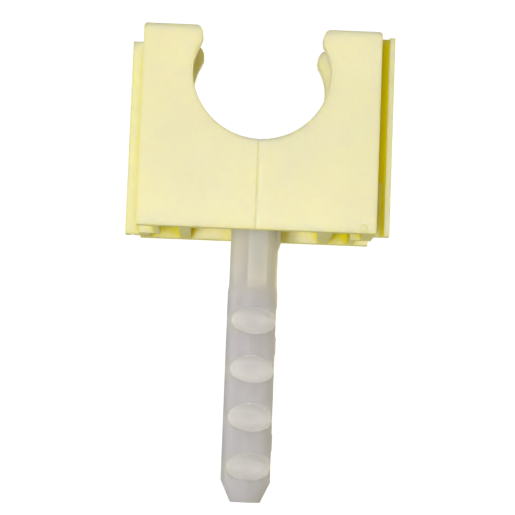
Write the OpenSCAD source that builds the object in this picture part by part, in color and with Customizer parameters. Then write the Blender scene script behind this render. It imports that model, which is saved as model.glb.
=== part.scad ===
// Snap-in saddle clip for plastic conduit, with the plug that holds it in a drilled hole.
// Two pieces: the cream saddle, moulded in one, and the natural plug pushed over its spigot.
// X runs across the clip, Y along the conduit, Z out of the wall. The origin is on the plug's
// axis in the plane of the wall, so the saddle stands on Z = 0 and the plug hangs below it.

/* [Cradle] */
// Outside diameter of the conduit that the cradle holds
conduit_d = 16; // [14:0.5:17]
// Height of the conduit's axis above the wall
axis_height = 18.4; // [17:0.05:22]
// Height of the arms above the conduit's axis
arm_rise = 5.05; // [4.8:0.05:5.4]
// Opening between the two noses
mouth_gap = 13.9; // [13.4:0.05:14.2]
// Height of the nose tips above the conduit's axis
nose_rise = 3.8; // [3.6:0.05:3.9]
// Radius of the lead-in above each nose tip
nose_top_r = 2.2; // [1.8:0.05:2.6]
// Radius of the hook under each nose tip
nose_under_r = 1.4; // [1.35:0.05:1.5]
// Radius of the arms' inner faces, which close in on the conduit below the noses
grip_r = 7.55; // [7.5:0.05:7.6]
// Distance of the middle of that radius from the conduit's axis, towards its own arm
grip_out = 0.55; // [0.5:0.05:0.6]
// Drop of that middle below the conduit's axis
grip_drop = 0.55; // [0.45:0.05:0.6]
// Width of the rim along the edge of the cradle
rim_w = 1.2; // [0.8:0.1:1.8]
// Depth of that rim, the plate's own thickness included
rim_d = 2.4; // [2:0.1:3]

/* [Saddle] */
// Width across the front and rear plates
body_w = 27.6; // [26.5:0.1:32]
// Length of the saddle along the conduit
body_d = 15; // [13:0.5:20]
// Thickness of the front and rear plates
plate_t = 1.5; // [1:0.1:1.9]
// Radius of the plates' upper outer corners
corner_r = 0.4; // [0.2:0.1:0.8]
// Thickness of the trough and shelf between the plates
trough_t = 1.3; // [1:0.1:1.6]
// Height of the shelf's upper face above the wall
shelf_height = 15; // [14:0.1:16]
// Distance of the inner face of each rib from the middle
rib_x = 7.65; // [7:0.05:8]
// Thickness of the ribs and of the web through the middle
rib_t = 1.3; // [1:0.1:1.6]
// Width of the weld line down the front face
weld_w = 0.6; // [0.4:0.05:0.8]
// Depth of the weld line
weld_depth = 0.12; // [0.04:0.01:0.15]
// Diameter of the ejector mark in the lower corner of the front face
mark_d = 0.9; // [0.6:0.1:1.2]
// Distance of that mark from the side of the face
mark_x = 1.45; // [1:0.05:3]
// Distance of that mark from the wall
mark_z = 0.55; // [0.55:0.05:1.5]

/* [Side walls and coupling rails] */
// Thickness of the half of each side wall that carries a rail
wall_t = 1.3; // [1:0.1:1.6]
// Thickness of the wall behind the recess in the other half
recess_wall_t = 0.75; // [0.6:0.05:1]
// Place along the conduit at which the side walls step in or out
step_y = 1.2; // [0:0.1:1.5]
// Thickness of the wall that joins the two halves there
step_t = 1; // [0.8:0.1:1.2]
// Reach of the rails beyond the plates
rail_reach = 1.7; // [1.4:0.05:1.8]
// Thickness of a rail's web
rail_web_t = 0.9; // [0.6:0.1:1.2]
// Thickness of the hooked head of a rail
rail_head_t = 0.65; // [0.5:0.05:0.8]
// Length of the hooked head along the conduit
rail_head_d = 1.8; // [1.6:0.1:2.2]
// Distance of the flat faces of the rails from the middle, forwards on the right-hand side of
// the clip and backwards on the left
rail_y = 3.1; // [2.8:0.1:3.6]
// Drop of the rails' upper ends below the arms
rail_drop = 0.1; // [0.05:0.05:0.6]
// Height of the stop that a coupled clip lands on
stop_height = 6.3; // [4:0.1:8]
// Thickness of the stop
stop_t = 0.65; // [0.4:0.05:0.8]
// Thickness of the lip that keeps a coupled rail in the recess
lip_t = 0.55; // [0.4:0.05:0.6]
// Running clearance between coupled rails, lips and recesses
rail_gap = 0.1; // [0.05:0.01:0.2]

/* [Plug] */
// Diameter of the plug's shank, which fills the drilled hole
shank_d = 5.85; // [5.75:0.05:6.2]
// Diameter of the neck at the top of the plug
neck_d = 5.6; // [5.2:0.1:5.8]
// Length of the plug below the wall
plug_len = 31.3; // [29:0.1:40]
// Depth at which the neck has widened to the shank
neck_len = 6.8; // [6:0.1:7.5]
// Length over which it widens
neck_taper = 1; // [0.5:0.1:2]
// Length of the bevelled tip
tip_len = 2.5; // [1.5:0.1:3]
// Diameter of the flat end
tip_d = 3.5; // [2.5:0.1:4.5]
// Number of notches down each face
notch_count = 4; // [2:1:4]
// Depth of the middle of the first notch below the wall
notch_first = 10.15; // [9.5:0.05:11]
// Height of the middle of the last notch above the flat end
notch_last = 4.17; // [4.15:0.01:5]
// Width of a notch across the shank
notch_w = 5.2; // [5:0.05:5.3]
// Height of a notch
notch_h = 3.3; // [3:0.05:3.4]
// Radius of a notch's upper and lower edge
notch_edge_r = 4; // [3.8:0.1:4.4]
// Radius of a notch's ends
notch_end_r = 1.5; // [1.4:0.05:1.55]
// Thickness of the web left between the notches of both faces
web_t = 1.6; // [1.2:0.1:2.4]
// Height of the barbs on the lands between notches
barb_h = 2; // [1:0.1:2.2]
// How far the barbs stand out of the flute down the side of the shank
barb_proud = 0.12; // [0.05:0.01:0.3]
// Width of each barb
barb_w = 2.4; // [1:0.1:3.5]
// How far the key at the neck stands out on one side
key_proud = 0.27; // [0.1:0.01:0.4]
// Width of the key
key_w = 2.6; // [1:0.1:3.5]
// Reach of the key's straight part below the wall
key_reach = 0.9; // [0.5:0.1:1.5]
// Length over which the key runs out into the neck
key_taper = 0.9; // [0.4:0.1:1.5]
// Turn of the plug about its own axis
plug_turn = 9; // [0:1:45]

/* [Seat of the plug] */
// Depth of the socket above the wall
socket_depth = 7; // [5:0.1:8]
// Distance of the socket's mouth above the wall
socket_recess = 0.9; // [0.7:0.1:1.5]
// Thickness of the socket's wall
socket_t = 1.2; // [0.8:0.1:1.4]
// Diameter of the spigot that centres the plug
spigot_d = 1.5; // [1:0.1:1.6]
// Reach of the spigot below the wall
spigot_reach = 4.1; // [3:0.05:5.5]
// Length of the chamfer on the spigot's end
spigot_chamfer = 0.2; // [0.1:0.05:0.4]
// Diameter of the bore in the plug that takes the spigot
bore_d = 2; // [1.7:0.1:2.4]
// Depth of that bore below the wall
bore_reach = 5.9; // [5.6:0.05:6.6]
// Length over which the bore tapers at its blind end
bore_taper = 1.6; // [0.5:0.1:2]
// Diameter of its blind end
bore_end_d = 1.3; // [1:0.1:1.6]
// Clearance around the neck in its socket
seat_gap = 0.05; // [0.02:0.01:0.1]

/* [Hidden] */
$fn = 96;

CREAM = "#EFE8BA";
NATURAL = "#CCC8BE";
CUT = 1;              // overshoot of every cut
WELD = 0.01;          // overlap that joins solids of one moulding

cradle_r = conduit_d / 2;
tip_x = mouth_gap / 2;
top_x = tip_x + nose_top_r;
under_x = tip_x + nose_under_r;
tip_z = axis_height + nose_rise;
arm_top = axis_height + arm_rise;
front_y = -body_d / 2;
half_w = body_w / 2;
inner_d = body_d - 2 * plate_t;
wall_x = half_w - wall_t;
inner_wall_x = half_w - rail_reach - rail_gap - recess_wall_t;
rail_top = arm_top - rail_drop;
lip_edge = rail_web_t + 2 * rail_gap;
shank_r = shank_d / 2;
notch_pitch = (plug_len - notch_first - notch_last) / (notch_count - 1);
neck_r = neck_d / 2;
socket_r = neck_r + seat_gap;
key_top = socket_recess - seat_gap;

// Outline of one plate, seen along the conduit: a block with the cradle and its mouth cut out,
// and the arms' inner faces and noses put back.
module plate_outline() {
    intersection() {
        block_outline();
        union() {
            difference() {
                block_outline();
                translate([0, axis_height]) circle(cradle_r);
                mouth_outline();
            }
            for (side = [0, 1]) mirror([side, 0]) arm_outline();
        }
    }
}

// Inner side of the right-hand arm: a face that closes in on the conduit, the hook under the
// nose, and the lead-in above it. The last two meet at the nose's tip.
module arm_outline() {
    grip_top = nose_rise - 0.5 * nose_under_r;
    difference() {
        translate([mouth_gap / 2 - 1, axis_height - grip_drop])
            square([under_x - tip_x + 1, grip_top + grip_drop]);
        translate([grip_out, axis_height - grip_drop]) circle(grip_r);
    }
    translate([under_x, tip_z]) circle(nose_under_r);
    difference() {
        translate([top_x, tip_z]) circle(nose_top_r);
        translate([0, tip_z - body_w]) square(body_w);
    }
}

// The block that the plates are cut from, with its upper corners rounded.
module block_outline() {
    translate([-half_w, 0]) square([body_w, arm_top - corner_r]);
    translate([-half_w + corner_r, 0]) square([body_w - 2 * corner_r, arm_top]);
    for (side = [-1, 1])
        translate([side * (half_w - corner_r), arm_top - corner_r]) circle(corner_r);
}

// The mouth widens from the conduit's axis to the middles of the lower arcs of the noses, so
// its slanted edges lie inside them.
module mouth_outline() {
    polygon([
        [0, axis_height],
        [under_x, tip_z], [top_x, tip_z], [top_x, arm_top + CUT],
        [-top_x, arm_top + CUT], [-top_x, tip_z], [-under_x, tip_z]
    ]);
}

// The part of the outline that lies along the edge of the cradle.
module rim_outline() {
    intersection() {
        plate_outline();
        union() {
            translate([0, axis_height]) circle(cradle_r + rim_w);
            translate([-cradle_r - rim_w, axis_height]) square([2 * (cradle_r + rim_w), arm_top]);
        }
    }
}

// Trough under the conduit, and the shelf that carries it to the side walls.
module trough_outline() {
    difference() {
        union() {
            intersection() {
                translate([0, axis_height]) circle(cradle_r + trough_t);
                translate([-half_w, 0]) square([body_w, shelf_height]);
            }
            translate([-inner_wall_x - WELD, shelf_height - trough_t])
                square([2 * (inner_wall_x + WELD), trough_t]);
        }
        translate([0, axis_height]) circle(cradle_r);
    }
}

// Stands an outline of the X-Z plane up at y and gives it a depth along the conduit.
module along_conduit(y, depth) {
    translate([0, y + depth, 0]) rotate([90, 0, 0]) linear_extrude(depth) children();
}

module plates() {
    for (end = [0, 1]) {
        along_conduit(end ? -front_y - plate_t : front_y, plate_t) plate_outline();
        along_conduit(end ? -front_y - rim_d : front_y, rim_d) rim_outline();
    }
}

module trough() {
    along_conduit(front_y + plate_t - WELD, inner_d + 2 * WELD) trough_outline();
}

module ribs() {
    for (side = [-1, 1])
        translate([side * (rib_x + rib_t / 2) - rib_t / 2, front_y + plate_t - WELD, 0])
            cube([rib_t, inner_d + 2 * WELD, shelf_height - trough_t / 2]);
}

// A side wall on the right: one stretch stands proud and carries the rail, the other is
// recessed, and a cross wall joins them.
module side_wall(proud_from, proud_to, recessed_from, recessed_to, cross_from) {
    translate([wall_x, proud_from, 0]) cube([wall_t, proud_to - proud_from, arm_top - corner_r]);
    translate([inner_wall_x, recessed_from, 0])
        cube([recess_wall_t, recessed_to - recessed_from, arm_top - corner_r]);
    translate([inner_wall_x, cross_from, 0])
        cube([half_w - inner_wall_x, step_t, arm_top - corner_r]);
}

module side_walls() {
    back_y = -front_y - plate_t;
    side_wall(front_y + plate_t - WELD, step_y, step_y - step_t, back_y + WELD, step_y - step_t);
    mirror([1, 0, 0])
        side_wall(step_y, back_y + WELD, front_y + plate_t - WELD, step_y + step_t, step_y);
}

// A rail in section, seen from above: a thin web that ends in a head hooked forwards, and the
// stop in the corner between them.
module rail(with_stop_to) {
    translate([half_w - WELD, -rail_web_t, 0]) cube([rail_reach + WELD, rail_web_t, rail_top]);
    translate([half_w + rail_reach - rail_head_t, -rail_head_d, 0])
        cube([rail_head_t, rail_head_d, rail_top]);
    translate([half_w - WELD, -with_stop_to, 0])
        cube([stop_t + WELD, with_stop_to, stop_height]);
}

module rails() {
    stop_d = rail_head_d - 2 * rail_gap;
    for (turn = [0, 180]) rotate(turn) translate([0, -rail_y, 0]) rail(stop_d);
}

// Lips in the mouths of the recesses, behind which the next clip's rail heads hook. They end
// above the stops.
module recess_lips() {
    lip_w = -rail_y - lip_edge - (front_y + plate_t);
    for (turn = [0, 180])
        rotate(turn)
            translate([-half_w, front_y + plate_t - WELD, stop_height])
                cube([lip_t, lip_w + WELD, arm_top - corner_r - stop_height]);
}

// Tube that grips the plug's neck, tied to both plates by a web under the trough. It rises
// into the trough and ends flush with the cradle.
module socket() {
    tube_top = axis_height - cradle_r + trough_t;
    difference() {
        union() {
            translate([0, 0, socket_recess])
                cylinder(r = socket_r + socket_t, h = tube_top - socket_recess);
            translate([-rib_t / 2, front_y + plate_t - WELD, socket_recess])
                cube([rib_t, inner_d + 2 * WELD, tube_top - socket_recess]);
        }
        translate([0, 0, -CUT]) cylinder(r = socket_r, h = socket_depth + CUT);
        along_conduit(front_y, body_d) translate([0, axis_height]) circle(cradle_r);
    }
    spigot();
}

module spigot() {
    shoulder = -spigot_reach + spigot_chamfer;
    translate([0, 0, shoulder]) cylinder(d = spigot_d, h = socket_depth - shoulder + WELD);
    translate([0, 0, -spigot_reach])
        cylinder(d1 = spigot_d - 2 * spigot_chamfer, d2 = spigot_d, h = spigot_chamfer);
}

// Weld line from the cradle down to the wall, steep on its left flank, and the ejector mark.
module face_marks() {
    translate([0, front_y, -CUT])
        linear_extrude(axis_height)
            polygon([
                [-weld_w / 4, 0], [0, weld_depth], [weld_w * 3 / 4, 0],
                [weld_w * 3 / 4, -CUT], [-weld_w / 4, -CUT]
            ]);
    translate([half_w - mark_x, front_y - CUT, mark_z])
        rotate([-90, 0, 0])
            cylinder(d = mark_d, h = CUT + weld_depth);
}

module saddle() {
    color(CREAM)
        difference() {
            union() {
                plates();
                trough();
                ribs();
                side_walls();
                rails();
                recess_lips();
                socket();
            }
            face_marks();
        }
}

// Half-section of the plug without its notches, from the flat end up to the top of the neck.
module plug_section() {
    polygon([
        [0, -plug_len], [tip_d / 2, -plug_len], [shank_r, -plug_len + tip_len],
        [shank_r, -neck_len], [neck_r, -neck_len + neck_taper],
        [neck_r, socket_depth], [0, socket_depth]
    ]);
}

// Blind bore for the spigot, open at the top of the neck.
module spigot_bore() {
    translate([0, 0, -bore_reach]) cylinder(d1 = bore_end_d, d2 = bore_d, h = bore_taper);
    translate([0, 0, -bore_reach + bore_taper])
        cylinder(d = bore_d, h = bore_reach - bore_taper + socket_depth + CUT);
}

// Outline of one notch, seen from the front: an oval whose long edges and ends are arcs.
module notch_outline() {
    end_x = notch_w / 2 - notch_end_r;
    intersection() {
        translate([0, notch_edge_r - notch_h / 2]) circle(notch_edge_r);
        translate([0, notch_h / 2 - notch_edge_r]) circle(notch_edge_r);
        union() {
            square([2 * end_x, notch_h + CUT], center = true);
            for (side = [-1, 1]) translate([side * end_x, 0]) circle(notch_end_r);
        }
    }
}

// The notches of both faces, sunk from the front and the back down to the web.
module notches() {
    for (i = [0 : notch_count - 1], turn = [0, 180])
        rotate(turn)
            translate([0, -web_t / 2, -notch_first - i * notch_pitch])
                rotate([90, 0, 0])
                    linear_extrude(shank_r + CUT)
                        notch_outline();
}

// Shallow flute down the key's side of the shank, from the first notch to the tip. What it
// leaves on every other land between the notches is a barb.
module flute() {
    top = -notch_first + notch_h / 2;
    bottom = -plug_len + tip_len;
    difference() {
        translate([0, -barb_w / 2, bottom]) cube([shank_d, barb_w, top - bottom]);
        translate([0, 0, bottom - CUT])
            cylinder(r = shank_r - barb_proud, h = top - bottom + 2 * CUT);
        for (i = [0 : 2 : notch_count - 2])
            translate([0, -barb_w, -notch_first - (i + 0.5) * notch_pitch - barb_h / 2])
                cube([shank_d + CUT, 2 * barb_w, barb_h]);
    }
}

// Key on one side of the neck, straight up to the mouth of the socket and run out below.
module key() {
    key_r = neck_r + key_proud;
    intersection() {
        translate([0, -key_w / 2, -shank_d]) cube([shank_d, key_w, 2 * shank_d]);
        union() {
            translate([0, 0, -key_reach]) cylinder(r = key_r, h = key_reach + key_top);
            translate([0, 0, -key_reach - key_taper])
                cylinder(r1 = neck_r, r2 = key_r, h = key_taper);
        }
    }
}

module plug() {
    color(NATURAL)
        rotate(plug_turn)
            difference() {
                union() {
                    difference() {
                        rotate_extrude() plug_section();
                        notches();
                        flute();
                    }
                    key();
                }
                spigot_bore();
            }
}

saddle();
plug();
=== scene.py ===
"""Snap-in saddle clip for plastic conduit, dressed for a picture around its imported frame.

The saddle is a cream moulding and the plug an undyed one. Both start as merged copies of the
frame's own solids, so they keep the real sizes, and get the soft edges that moulded parts have.
"""
import math

import bpy
from mathutils import Matrix, Vector


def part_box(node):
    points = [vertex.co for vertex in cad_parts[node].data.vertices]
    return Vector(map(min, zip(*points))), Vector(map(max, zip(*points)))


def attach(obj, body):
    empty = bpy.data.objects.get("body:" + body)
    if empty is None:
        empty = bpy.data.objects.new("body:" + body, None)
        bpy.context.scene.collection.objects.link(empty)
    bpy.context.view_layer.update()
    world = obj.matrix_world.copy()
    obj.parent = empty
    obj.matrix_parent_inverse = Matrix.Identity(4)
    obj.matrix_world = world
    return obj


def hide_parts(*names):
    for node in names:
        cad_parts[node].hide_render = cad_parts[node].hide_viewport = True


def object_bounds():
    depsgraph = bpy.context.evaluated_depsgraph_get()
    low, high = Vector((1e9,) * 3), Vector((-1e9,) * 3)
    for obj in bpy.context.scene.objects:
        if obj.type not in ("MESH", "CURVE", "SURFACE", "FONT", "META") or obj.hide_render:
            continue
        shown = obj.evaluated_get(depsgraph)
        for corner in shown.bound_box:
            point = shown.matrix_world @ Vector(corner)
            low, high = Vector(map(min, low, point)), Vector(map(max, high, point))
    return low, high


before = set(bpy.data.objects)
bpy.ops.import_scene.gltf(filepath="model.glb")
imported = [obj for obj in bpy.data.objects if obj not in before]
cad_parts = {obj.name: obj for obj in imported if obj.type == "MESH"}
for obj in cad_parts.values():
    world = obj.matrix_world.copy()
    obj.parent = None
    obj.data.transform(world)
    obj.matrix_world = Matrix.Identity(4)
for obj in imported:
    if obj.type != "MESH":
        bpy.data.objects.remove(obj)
CAD_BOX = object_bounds()

MM = 0.001
# segments of a moulded edge, and samples of the nodes that feel how open or how thin a place is
EDGE_SEGMENTS = 3
AO_SAMPLES = 8
# a Mix node's colour sockets, which share their names with those of its other data types
MIX_BELOW, MIX_ABOVE, MIX_RESULT = 6, 7, 2
# strength of the white behind the clip, a little over 1 so that it burns out
BURNT_OUT = 1.05

bl_info = {
    "name": "Conduit clip",
    "version": (1, 0, 0),
    "blender": (4, 5, 0),
    "location": "3D View > Sidebar > Conduit clip",
    "description": "Dresses the conduit clip's frame with soft-edged, finished pieces",
    "category": "Object",
}


# --- small helpers ------------------------------------------------------------------------------


def linear(hex_colour):
    """An sRGB hex colour such as "#EFE8BA" as linear red, green, blue and alpha."""
    channels = [int(hex_colour[i:i + 2], 16) / 255 for i in (1, 3, 5)]
    curved = [c / 12.92 if c <= 0.04045 else ((c + 0.055) / 1.055) ** 2.4 for c in channels]
    return (*curved, 1.0)


def add_node(owner, kind, settings=None, links=None):
    """Adds a node to a material or world.

    settings gives values to properties or input sockets, links feeds inputs from outputs.
    """
    node = owner.node_tree.nodes.new(kind)
    for name, value in (settings or {}).items():
        if name in node.inputs:
            node.inputs[name].default_value = value
        else:
            setattr(node, name, value)
    for name, output in (links or {}).items():
        owner.node_tree.links.new(output, node.inputs[name])
    return node


def lay(material, below, above, *slopes):
    """Lays one colour over another where every slope is high.

    A colour is a hex string or an output. A slope is an output, the value at which it starts to
    show the upper colour and the value from which it shows it in full.
    """
    factor = None
    for value, start, full in slopes:
        rise = add_node(material, "ShaderNodeMapRange", {"From Min": start, "From Max": full},
                        {"Value": value}).outputs["Result"]
        if factor is None:
            factor = rise
        else:
            factor = add_node(material, "ShaderNodeMath", {"operation": "MULTIPLY"},
                              {0: factor, 1: rise}).outputs[0]
    blend = add_node(material, "ShaderNodeMix", {"data_type": "RGBA"}, {"Factor": factor})
    for socket, colour in ((MIX_BELOW, below), (MIX_ABOVE, above)):
        if isinstance(colour, str):
            blend.inputs[socket].default_value = linear(colour)
        else:
            material.node_tree.links.new(colour, blend.inputs[socket])
    return blend.outputs[MIX_RESULT]


def empty_material(name):
    """A material with nodes, but none in it yet."""
    material = bpy.data.materials.new(name)
    material.use_nodes = True
    material.node_tree.nodes.clear()
    return material


def deselect_all():
    if bpy.context.object and bpy.context.object.mode != "OBJECT":
        bpy.ops.object.mode_set(mode="OBJECT")
    bpy.ops.object.select_all(action="DESELECT")


def make_active(piece):
    """Selects one object alone and makes it the active one."""
    deselect_all()
    piece.select_set(True)
    bpy.context.view_layer.objects.active = piece


def merged_copy(node, name):
    """A copy of a CAD node with its loose triangles merged and its flat faces joined."""
    same_point, same_plane, on_seam = 0.002 * MM, math.radians(0.4), 0.0001 * MM
    make_active(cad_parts[node])
    bpy.ops.object.duplicate()
    piece = bpy.context.object
    piece.name = name
    piece.data.name = name
    piece.parent = None
    piece.matrix_world = Matrix.Identity(4)
    for key in [k for k in piece.keys() if k.startswith("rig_")]:
        del piece[key]
    bpy.ops.object.mode_set(mode="EDIT")
    bpy.ops.mesh.select_all(action="SELECT")
    bpy.ops.mesh.customdata_custom_splitnormals_clear()
    bpy.ops.mesh.remove_doubles(threshold=same_point)
    bpy.ops.mesh.dissolve_limited(angle_limit=same_plane, delimit={"NORMAL"})
    # a seam down the middle, so that no flat face closes around a pocket and overlaps itself
    bpy.ops.mesh.select_all(action="SELECT")
    bpy.ops.mesh.bisect(plane_co=(0, 0, 0), plane_no=(1, 0, 0), threshold=on_seam)
    bpy.ops.object.mode_set(mode="OBJECT")
    return piece


def select_edges(piece, wanted):
    """Enters edit mode with only those edges selected whose two ends pass the test."""
    make_active(piece)
    bpy.ops.object.mode_set(mode="EDIT")
    bpy.ops.mesh.select_mode(type="EDGE")
    bpy.ops.mesh.select_all(action="DESELECT")
    bpy.ops.object.mode_set(mode="OBJECT")
    vertices = piece.data.vertices
    for edge in piece.data.edges:
        edge.select = wanted(*(vertices[i].co for i in edge.vertices))
    bpy.ops.object.mode_set(mode="EDIT")


def round_noses(piece, reach):
    """Rounds the upper corners of the noses, over the first facets of the lead-in below them."""
    # a nose's corner towards the mouth lies nearer the middle than this, its outer corner farther
    mouth_side = 7.4 * MM
    shortest, level = 1.0 * MM, 0.01 * MM
    facets_from, facets_to = 0.1 * MM, 0.6 * MM
    top = max(vertex.co.z for vertex in piece.data.vertices)

    def crosses_nose(start, end):
        """Whether an edge runs level along Y over the mouth's side of a nose."""
        along, rise = abs(start.y - end.y), abs(start.z - end.z)
        return along > shortest and rise < level and abs(start.x) < mouth_side

    def parts_facets(start, end):
        return crosses_nose(start, end) and facets_from < top - start.z < facets_to

    def is_corner(start, end):
        return crosses_nose(start, end) and top - start.z < level

    select_edges(piece, parts_facets)
    joined = bpy.ops.mesh.dissolve_edges(use_verts=True)
    select_edges(piece, is_corner)
    rounded = bpy.ops.mesh.bevel(offset=reach, segments=6, affect="EDGES")
    bpy.ops.object.mode_set(mode="OBJECT")
    if not joined == rounded == {"FINISHED"}:
        raise RuntimeError("The noses' upper corners can't be rounded")


def soften_edges(piece, width, smallest_angle):
    """Rounds the sharp edges of a merged copy, as a mould does, and shades the result."""
    smooth_angle = math.radians(40)
    make_active(piece)
    bevel = piece.modifiers.new("Moulded edges", "BEVEL")
    bevel.width = width
    bevel.segments = EDGE_SEGMENTS
    bevel.limit_method = "ANGLE"
    bevel.angle_limit = smallest_angle
    bevel.miter_outer = "MITER_ARC"
    bpy.ops.object.modifier_apply(modifier=bevel.name)
    bpy.ops.object.shade_smooth_by_angle(angle=smooth_angle)
    weighted = piece.modifiers.new("Flat faces stay flat", "WEIGHTED_NORMAL")
    weighted.keep_sharp = True
    bpy.ops.object.modifier_apply(modifier=weighted.name)


# --- materials ----------------------------------------------------------------------------------


def cream_polypropylene(look):
    """Dyed polypropylene, injection moulded in a finely eroded cavity.

    It reads as a warm, slightly waxy cream. A yellower painted shade lies in the depths of the
    pockets and grooves, along thin edges and on undersides, in place of light that enters thin
    walls; the weld line carries a painted shade and a painted highlight.
    """
    cloud_size, pit_size = 8.0 * MM, 0.15 * MM
    material = empty_material("Cream polypropylene, fine matte moulded")
    place = add_node(material, "ShaderNodeTexCoord")
    at = add_node(material, "ShaderNodeSeparateXYZ", None, {"Vector": place.outputs["Object"]})
    facing = add_node(material, "ShaderNodeSeparateXYZ", None, {"Vector": place.outputs["Normal"]})
    # flow of the melt: cloudy changes of tone
    flow = add_node(material, "ShaderNodeTexNoise",
                    {"Scale": 1 / cloud_size, "Detail": 2.0, "Roughness": 0.5},
                    {"Vector": place.outputs["Object"]})
    colour = lay(material, look.cream_hex, look.cream_cloud_hex, (flow.outputs["Fac"], 0.3, 0.7))
    # the weld line, where the two streams of the melt met under the cradle: a shallow groove down
    # the front face, with painted shade on its steep side and a painted highlight on its gentle
    # one
    front_face = CAD_BOX[0][1]
    on_front = (at.outputs["Y"], front_face + 0.3 * MM, front_face + 0.2 * MM)
    steep_from = (at.outputs["X"], -0.3 * MM, -0.2 * MM)
    steep_to = (at.outputs["X"], 0.02 * MM, -0.03 * MM)
    gentle_from = (at.outputs["X"], -0.03 * MM, 0.03 * MM)
    gentle_to = (at.outputs["X"], 0.5 * MM, 0.35 * MM)
    colour = lay(material, colour, look.weld_painted_shade_hex, on_front, steep_from, steep_to)
    colour = lay(material, colour, look.weld_painted_highlight_hex, on_front, gentle_from, gentle_to)
    # painted shade in yellow where the pockets and grooves are enclosed, along thin edges and on
    # the undersides of ribs and walls; it stands in for light that has come through 3 mm of
    # plastic and is yellow
    openness = add_node(material, "ShaderNodeAmbientOcclusion",
                        {"Distance": 5.0 * MM, "samples": AO_SAMPLES})
    bulk = add_node(material, "ShaderNodeAmbientOcclusion",
                    {"Distance": 0.5 * MM, "samples": AO_SAMPLES, "inside": True})
    painted_shade_amount = None
    for value, start, full, strength in (
        (openness.outputs["AO"], 0.76, 0.5, 1.0),
        (bulk.outputs["AO"], 0.92, 0.5, 0.3),
        (facing.outputs["Z"], -0.8, -1.0, 0.5),
    ):
        rise = add_node(material, "ShaderNodeMapRange",
                        {"From Min": start, "From Max": full, "To Max": strength},
                        {"Value": value}).outputs["Result"]
        if painted_shade_amount is None:
            painted_shade_amount = rise
        else:
            painted_shade_amount = add_node(material, "ShaderNodeMath", {"operation": "MAXIMUM"},
                              {0: painted_shade_amount, 1: rise}).outputs[0]
    colour = lay(material, colour, look.cream_painted_shade_hex, (painted_shade_amount, 0.0, 1.0))
    # pits of the eroded cavity, drawn coarser than they are so that they show
    grain = add_node(material, "ShaderNodeTexNoise",
                     {"Scale": 1 / pit_size, "Detail": 3.0, "Roughness": 0.6},
                     {"Vector": place.outputs["Object"]})
    bump = add_node(material, "ShaderNodeBump", {"Strength": 0.12, "Distance": 0.02 * MM},
                    {"Height": grain.outputs["Fac"]})
    rough = add_node(material, "ShaderNodeMapRange", {"To Min": 0.55, "To Max": 0.66},
                     {"Value": grain.outputs["Fac"]})
    shader = add_node(material, "ShaderNodeBsdfPrincipled", {
        "IOR": 1.49,
        "Subsurface Weight": look.cream_depth,
        "Subsurface Radius": (1.0, 0.88, 0.15),
        "Subsurface Scale": 2.5 * MM,
        "Specular IOR Level": 0.1,
    }, {
        "Base Color": colour,
        "Roughness": rough.outputs["Result"],
        "Normal": bump.outputs["Normal"],
    })
    add_node(material, "ShaderNodeOutputMaterial", None, {"Surface": shader.outputs["BSDF"]})
    return material


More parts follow.
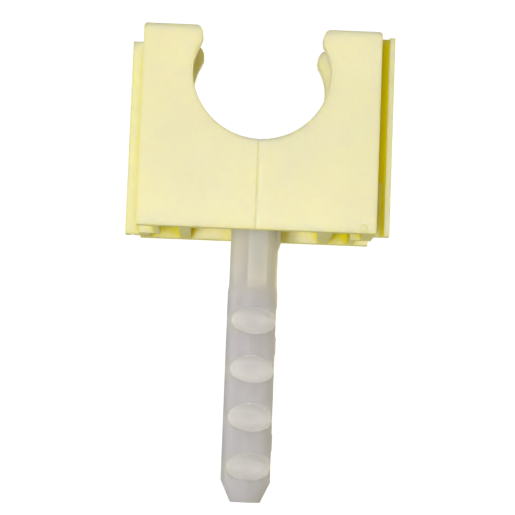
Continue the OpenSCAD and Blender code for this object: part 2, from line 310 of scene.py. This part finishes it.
def natural_polyamide(look):
    """Undyed polyamide, injection moulded with a satin surface.

    It is milky and lets light through. Painted light makes the neck, with the cream spigot inside
    it, warmer with a pale core and makes the notches paler than the full shank between them;
    painted shade darkens the shank towards its tip.
    """
    streak_size = 2.2 * MM
    material = empty_material("Natural polyamide, satin moulded")
    place = add_node(material, "ShaderNodeTexCoord")
    # milky streaks along the flow, stretched down the plug
    streak_place = add_node(material, "ShaderNodeMapping", {"Scale": (1.0, 1.0, 0.3)},
                            {"Vector": place.outputs["Object"]})
    streaks = add_node(material, "ShaderNodeTexNoise",
                       {"Scale": 1 / streak_size, "Detail": 3.0, "Roughness": 0.55},
                       {"Vector": streak_place.outputs["Vector"]})
    # places in the plug's own directions, because it is turned a little about its axis
    turned = add_node(material, "ShaderNodeMapping", {"Rotation": (0.0, 0.0, -look.plug_turn)},
                      {"Vector": place.outputs["Object"]})
    at = add_node(material, "ShaderNodeSeparateXYZ", None, {"Vector": turned.outputs["Vector"]})
    sideways = add_node(material, "ShaderNodeMath", {"operation": "ABSOLUTE"},
                        {0: at.outputs["X"]})
    from_axis = add_node(material, "ShaderNodeCombineXYZ", None,
                         {"X": at.outputs["X"], "Y": at.outputs["Y"]})
    radius = add_node(material, "ShaderNodeVectorMath", {"operation": "LENGTH"},
                      {0: from_axis.outputs["Vector"]})
    corners = add_node(material, "ShaderNodeAmbientOcclusion",
                       {"Distance": 2.0 * MM, "samples": AO_SAMPLES})
    # painted shade darkens the shank towards its tip; painted light makes the neck warmer upwards
    # and its core paler upwards, standing in for the lit cream spigot seen through the plastic
    neck_end = -8.0 * MM
    to_tip = (at.outputs["Z"], neck_end, -31.0 * MM)
    up_neck = (at.outputs["Z"], neck_end, -1.0 * MM)
    core = ((sideways.outputs[0], 1.25 * MM, 1.0 * MM), (at.outputs["Z"], -6.6 * MM, -5.2 * MM))
    notches = ((at.outputs["Z"], -7.8 * MM, -8.2 * MM), (at.outputs["Z"], -28.8 * MM, -28.6 * MM),
               (radius.outputs["Value"], 2.79 * MM, 2.74 * MM))
    # painted light: paler notch floors stand in for light through the thin web, and the shank
    # around a notch passes its light on, so paler walls and corners cancel the shade where they
    # are enclosed
    in_corners = (corners.outputs["AO"], 0.9, 0.55)
    # painted light for the core, duller towards its lower end
    core_tone_painted_light = lay(material, look.core_end_painted_light_hex, look.core_painted_light_hex, up_neck)
    colour = lay(material, look.natural_hex, look.natural_pale_hex,
                 (streaks.outputs["Fac"], 0.0, 1.0))
    # painted shade and painted light laid over the milky streaks
    for above, slopes in (
        (look.tip_painted_shade_hex, (to_tip,)),
        (look.neck_painted_light_hex, (up_neck,)),
        (core_tone_painted_light, core),
        (look.notch_painted_light_hex, notches),
        (look.notch_wall_painted_light_hex, notches + (in_corners,)),
    ):
        colour = lay(material, colour, above, *slopes)
    bump = add_node(material, "ShaderNodeBump", {"Strength": 0.1, "Distance": 0.05 * MM},
                    {"Height": streaks.outputs["Fac"]})
    shader = add_node(material, "ShaderNodeBsdfPrincipled", {
        "IOR": 1.53,
        "Roughness": 0.45,
        "Transmission Weight": look.natural_clearness,
        "Subsurface Weight": 1.0,
        "Subsurface Radius": (1.0, 1.0, 1.0),
        "Subsurface Scale": 12.0 * MM,
        "Specular IOR Level": 0.2,
    }, {
        "Base Color": colour,
        "Normal": bump.outputs["Normal"],
    })
    add_node(material, "ShaderNodeOutputMaterial", None, {"Surface": shader.outputs["BSDF"]})
    return material


def opal_glass():
    """Opal glass of a light table, cast and evenly milky.

    The camera sees it burnt out to plain white, and it lights the clip softly from below.
    """
    material = empty_material("Opal glass, light table")
    glow = add_node(material, "ShaderNodeEmission", {"Color": linear("#FFFADA"), "Strength": 0.3})
    white = add_node(material, "ShaderNodeEmission",
                     {"Color": linear("#FFFFFF"), "Strength": BURNT_OUT})
    ray = add_node(material, "ShaderNodeLightPath")
    seen = add_node(material, "ShaderNodeMixShader", None, {
        0: ray.outputs["Is Camera Ray"],
        1: glow.outputs["Emission"],
        2: white.outputs["Emission"],
    })
    add_node(material, "ShaderNodeOutputMaterial", None, {"Surface": seen.outputs["Shader"]})
    return material


# --- what a user may change ---------------------------------------------------------------------


class ClipLook(bpy.types.PropertyGroup):
    """Finish of the two mouldings, with the painted light and painted shade laid on them."""

    cream_hex: bpy.props.StringProperty(
        name="Cream", description="Colour of the saddle, sRGB hex", default="#F5EDCC")
    cream_cloud_hex: bpy.props.StringProperty(
        name="Cream clouds", description="Colour of the clouds in the saddle's cream, sRGB hex",
        default="#F4EBC8")
    # painted shade: the yellow laid over the cream in pockets, grooves, thin edges and undersides
    cream_painted_shade_hex: bpy.props.StringProperty(
        name="Deep cream", description="Colour in the saddle's pockets and grooves, sRGB hex",
        default="#E2D808")
    # painted shade and painted highlight: the colours laid on the two sides of the weld line's
    # groove
    weld_painted_shade_hex: bpy.props.StringProperty(
        name="Weld line, steep side",
        description="Colour of the weld line's steep side, sRGB hex", default="#E8DFAE")
    weld_painted_highlight_hex: bpy.props.StringProperty(
        name="Weld line, gentle side",
        description="Colour of the weld line's gentle side, sRGB hex", default="#F7EFD3")
    cream_depth: bpy.props.FloatProperty(
        name="Cream depth", description="How much light enters the cream plastic", default=1.0,
        min=0.0, max=1.0, subtype="FACTOR")
    cream_edge: bpy.props.FloatProperty(
        name="Saddle edge radius", description="Radius of the saddle's moulded edges",
        default=0.14 * MM, min=0.02 * MM, max=0.25 * MM, unit="LENGTH")
    nose_round: bpy.props.FloatProperty(
        name="Nose rounding",
        description="How far the rounding of the noses' upper corners reaches",
        default=0.45 * MM, min=0.1 * MM, max=0.5 * MM, unit="LENGTH")
    natural_hex: bpy.props.StringProperty(
        name="Natural", description="Colour of the plug, sRGB hex", default="#ABA8B0")
    natural_pale_hex: bpy.props.StringProperty(
        name="Pale natural", description="Colour of the plug's milky streaks, sRGB hex",
        default="#B6B3BA")
    # painted shade: the darker tone towards the plug's tip
    tip_painted_shade_hex: bpy.props.StringProperty(
        name="Tip", description="Colour that the plug darkens to at its tip, sRGB hex",
        default="#ACAAB2")
    # painted light: the neck's paler, warmer tone over the cream spigot
    neck_painted_light_hex: bpy.props.StringProperty(
        name="Neck", description="Colour of the plug's neck, over the cream spigot, sRGB hex",
        default="#D9D2BF")
    # painted light: the pale core in the neck and its duller lower end, standing in for the lit
    # spigot
    core_painted_light_hex: bpy.props.StringProperty(
        name="Core", description="Colour of the core that shows in the neck, sRGB hex",
        default="#FFF6E9")
    core_end_painted_light_hex: bpy.props.StringProperty(
        name="Core end", description="Colour of the core at its lower end, sRGB hex",
        default="#D5CCC6")
    # painted light: the paler floors and walls of the notches
    notch_painted_light_hex: bpy.props.StringProperty(
        name="Notch floors", description="Colour of the thin web between the notches, sRGB hex",
        default="#B9B6BE")
    notch_wall_painted_light_hex: bpy.props.StringProperty(
        name="Notch walls",
        description="Colour of the walls and corners of the plug's notches, sRGB hex",
        default="#D6D4D9")
    plug_turn: bpy.props.FloatProperty(
        name="Plug turn", description="Turn of the plug about its axis",
        default=math.radians(9), subtype="ANGLE")
    natural_clearness: bpy.props.FloatProperty(
        name="Plug clearness", description="How clear the undyed plastic is", default=0.1,
        min=0.0, max=1.0, subtype="FACTOR")
    natural_edge: bpy.props.FloatProperty(
        name="Plug edge radius", description="Radius of the plug's moulded edges",
        default=0.1 * MM, min=0.02 * MM, max=0.2 * MM, unit="LENGTH")


class ClipStage(bpy.types.PropertyGroup):
    """Camera and floor."""

    azimuth: bpy.props.FloatProperty(
        name="Azimuth", description="Direction the camera looks in, from +Y towards +X",
        default=math.radians(0.944), subtype="ANGLE")
    elevation: bpy.props.FloatProperty(
        name="Elevation", description="How far the camera looks upwards",
        default=math.radians(5.524), subtype="ANGLE")
    roll: bpy.props.FloatProperty(
        name="Roll", description="Turn of the camera about its own axis",
        default=math.radians(-2.189), subtype="ANGLE")
    distance: bpy.props.FloatProperty(
        name="Distance", description="Distance from the camera to the point it aims at",
        default=229.228 * MM, unit="LENGTH")
    aim: bpy.props.FloatVectorProperty(
        name="Aim", description="Point that the camera aims at",
        default=(0.4085 * MM, 0.0, -2.5725 * MM), subtype="XYZ", unit="LENGTH")
    lens: bpy.props.FloatProperty(
        name="Lens", description="Focal length on a 36 mm sensor, in millimetres", default=135.62)
    floor_drop: bpy.props.FloatProperty(
        name="Floor drop", description="Height of the plug's tip above the floor",
        default=400 * MM, min=0.0, unit="LENGTH")


# --- the pieces ---------------------------------------------------------------------------------


class DressSaddle(bpy.types.Operator):
    """Saddle: one moulding with plates, noses, side walls, rails, trough and spigot"""

    bl_idname = "conduit_clip.saddle"
    bl_label = "Saddle"

    def execute(self, context):
        look = context.scene.clip_look
        saddle = merged_copy("saddle", "saddle_moulding")
        round_noses(saddle, look.nose_round)
        soften_edges(saddle, look.cream_edge, smallest_angle=math.radians(41))
        saddle.data.materials.clear()
        saddle.data.materials.append(cream_polypropylene(look))
        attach(saddle, "root")
        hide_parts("saddle")
        return {"FINISHED"}


class DressPlug(bpy.types.Operator):
    """Plug: neck, key, notched shank and bevelled tip in undyed plastic"""

    bl_idname = "conduit_clip.plug"
    bl_label = "Plug"

    def execute(self, context):
        look = context.scene.clip_look
        plug = merged_copy("plug", "plug_moulding")
        soften_edges(plug, look.natural_edge, smallest_angle=math.radians(30))
        plug.data.materials.clear()
        plug.data.materials.append(natural_polyamide(look))
        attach(plug, "root")
        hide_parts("plug")
        return {"FINISHED"}


class SetStage(bpy.types.Operator):
    """Stage: opal floor, white surroundings, soft lights and the camera"""

    bl_idname = "conduit_clip.stage"
    bl_label = "Stage"

    def execute(self, context):
        stage = context.scene.clip_stage
        self.add_floor(stage)
        self.add_world(context)
        self.add_lights()
        self.add_camera(context, stage)
        return {"FINISHED"}

    def add_floor(self, stage):
        deselect_all()
        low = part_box("plug")[0].z
        bpy.ops.mesh.primitive_plane_add(size=6.0, location=(0, 0, low - stage.floor_drop))
        bpy.ops.object.transform_apply(location=True, rotation=True, scale=True)
        floor = bpy.context.object
        floor.name = "floor"
        floor.data.materials.append(opal_glass())

    def add_world(self, context):
        world = bpy.data.worlds.new("White studio")
        context.scene.world = world
        world.use_nodes = True
        world.node_tree.nodes.clear()
        white = add_node(world, "ShaderNodeBackground",
                         {"Color": (1.0, 1.0, 1.0, 1.0), "Strength": BURNT_OUT})
        fill = add_node(world, "ShaderNodeBackground",
                        {"Color": (1.0, 0.92, 0.5, 1.0), "Strength": 0.08})
        ray = add_node(world, "ShaderNodeLightPath")
        straight = add_node(world, "ShaderNodeMath", {"operation": "MAXIMUM"}, {
            0: ray.outputs["Is Camera Ray"],
            1: ray.outputs["Is Transmission Ray"],
        })
        seen = add_node(world, "ShaderNodeMixShader", None, {
            0: straight.outputs[0],
            1: fill.outputs["Background"],
            2: white.outputs["Background"],
        })
        add_node(world, "ShaderNodeOutputWorld", None, {"Surface": seen.outputs["Shader"]})

    def add_lights(self):
        white, straw, ivory = (1.0, 1.0, 1.0), (1.0, 0.93, 0.45), (1.0, 0.95, 0.72)
        foot, shank, notches = (0.0, 0.0, 0.005), (0.0, 0.0, -0.018), (0.0, 0.0, -0.022)
        for name, place, target, size, spread, watts, colour in (
            ("key", (-0.26, -0.92, -0.30), foot, 0.32, 180, 7.35, white),
            ("right fill", (0.45, -0.23, 0.0), foot, 0.30, 180, 0.8, ivory),
            ("left fill", (-0.45, 0.0, 0.0), foot, 0.30, 180, 0.8, white),
            ("top fill", (-0.05, -0.30, 0.40), foot, 0.35, 180, 0.25, straw),
            ("back fill", (0.0, 0.42, 0.15), foot, 0.20, 180, 0.7, white),
            ("right back fill", (0.30, 0.40, 0.10), foot, 0.25, 180, 0.6, straw),
            ("back light on the plug", (0.0, 0.40, 0.05), shank, 0.03, 8, 0.0009, white),
            ("snooted light on the plug", (0.0, -0.35, 0.30), notches, 0.02, 5, 0.0005, white),
        ):
            deselect_all()
            bpy.ops.object.light_add(type="AREA", location=place)
            light = bpy.context.object
            light.name = name
            light.data.size = size
            light.data.spread = math.radians(spread)
            light.data.energy = watts
            light.data.color = colour
            light.rotation_mode = "QUATERNION"
            light.rotation_quaternion = (Vector(target) - light.location).to_track_quat("-Z", "Y")

    def add_camera(self, context, stage):
        deselect_all()
        bpy.ops.object.camera_add()
        camera = bpy.context.object
        camera.name = "camera"
        azimuth, elevation = stage.azimuth, stage.elevation
        forward = Vector((math.sin(azimuth) * math.cos(elevation),
                          math.cos(azimuth) * math.cos(elevation),
                          math.sin(elevation)))
        level = forward.to_track_quat("-Z", "Y").to_matrix()
        camera.location = Vector(stage.aim) - forward * stage.distance
        camera.rotation_euler = (level @ Matrix.Rotation(-stage.roll, 3, "Z")).to_euler()
        camera.data.sensor_width = 36.0
        camera.data.lens = stage.lens
        camera.data.clip_start = 0.01
        camera.data.clip_end = 20.0
        context.scene.camera = camera
        context.scene.view_settings.view_transform = "Standard"
        context.scene.view_settings.look = "None"


class ClipPanel(bpy.types.Panel):
    """Lists the steps in the sidebar."""

    bl_idname = "VIEW3D_PT_conduit_clip"
    bl_label = "Conduit clip"
    bl_space_type = "VIEW_3D"
    bl_region_type = "UI"
    bl_category = "Conduit clip"

    def draw(self, context):
        layout = self.layout
        for group in (context.scene.clip_look, context.scene.clip_stage):
            for name in group.__annotations__:
                layout.prop(group, name)
        for step in STEPS:
            layout.operator(step.bl_idname)


STEPS = (DressSaddle, DressPlug, SetStage)
CLASSES = (ClipLook, ClipStage) + STEPS + (ClipPanel,)


def register():
    for item in CLASSES:
        bpy.utils.register_class(item)
    bpy.types.Scene.clip_look = bpy.props.PointerProperty(type=ClipLook)
    bpy.types.Scene.clip_stage = bpy.props.PointerProperty(type=ClipStage)


def unregister():
    del bpy.types.Scene.clip_stage
    del bpy.types.Scene.clip_look
    for item in reversed(CLASSES):
        bpy.utils.unregister_class(item)


def main():
    register()
    bpy.ops.conduit_clip.saddle()
    bpy.ops.conduit_clip.plug()
    bpy.ops.conduit_clip.stage()


if __name__ == "__main__":
    main()
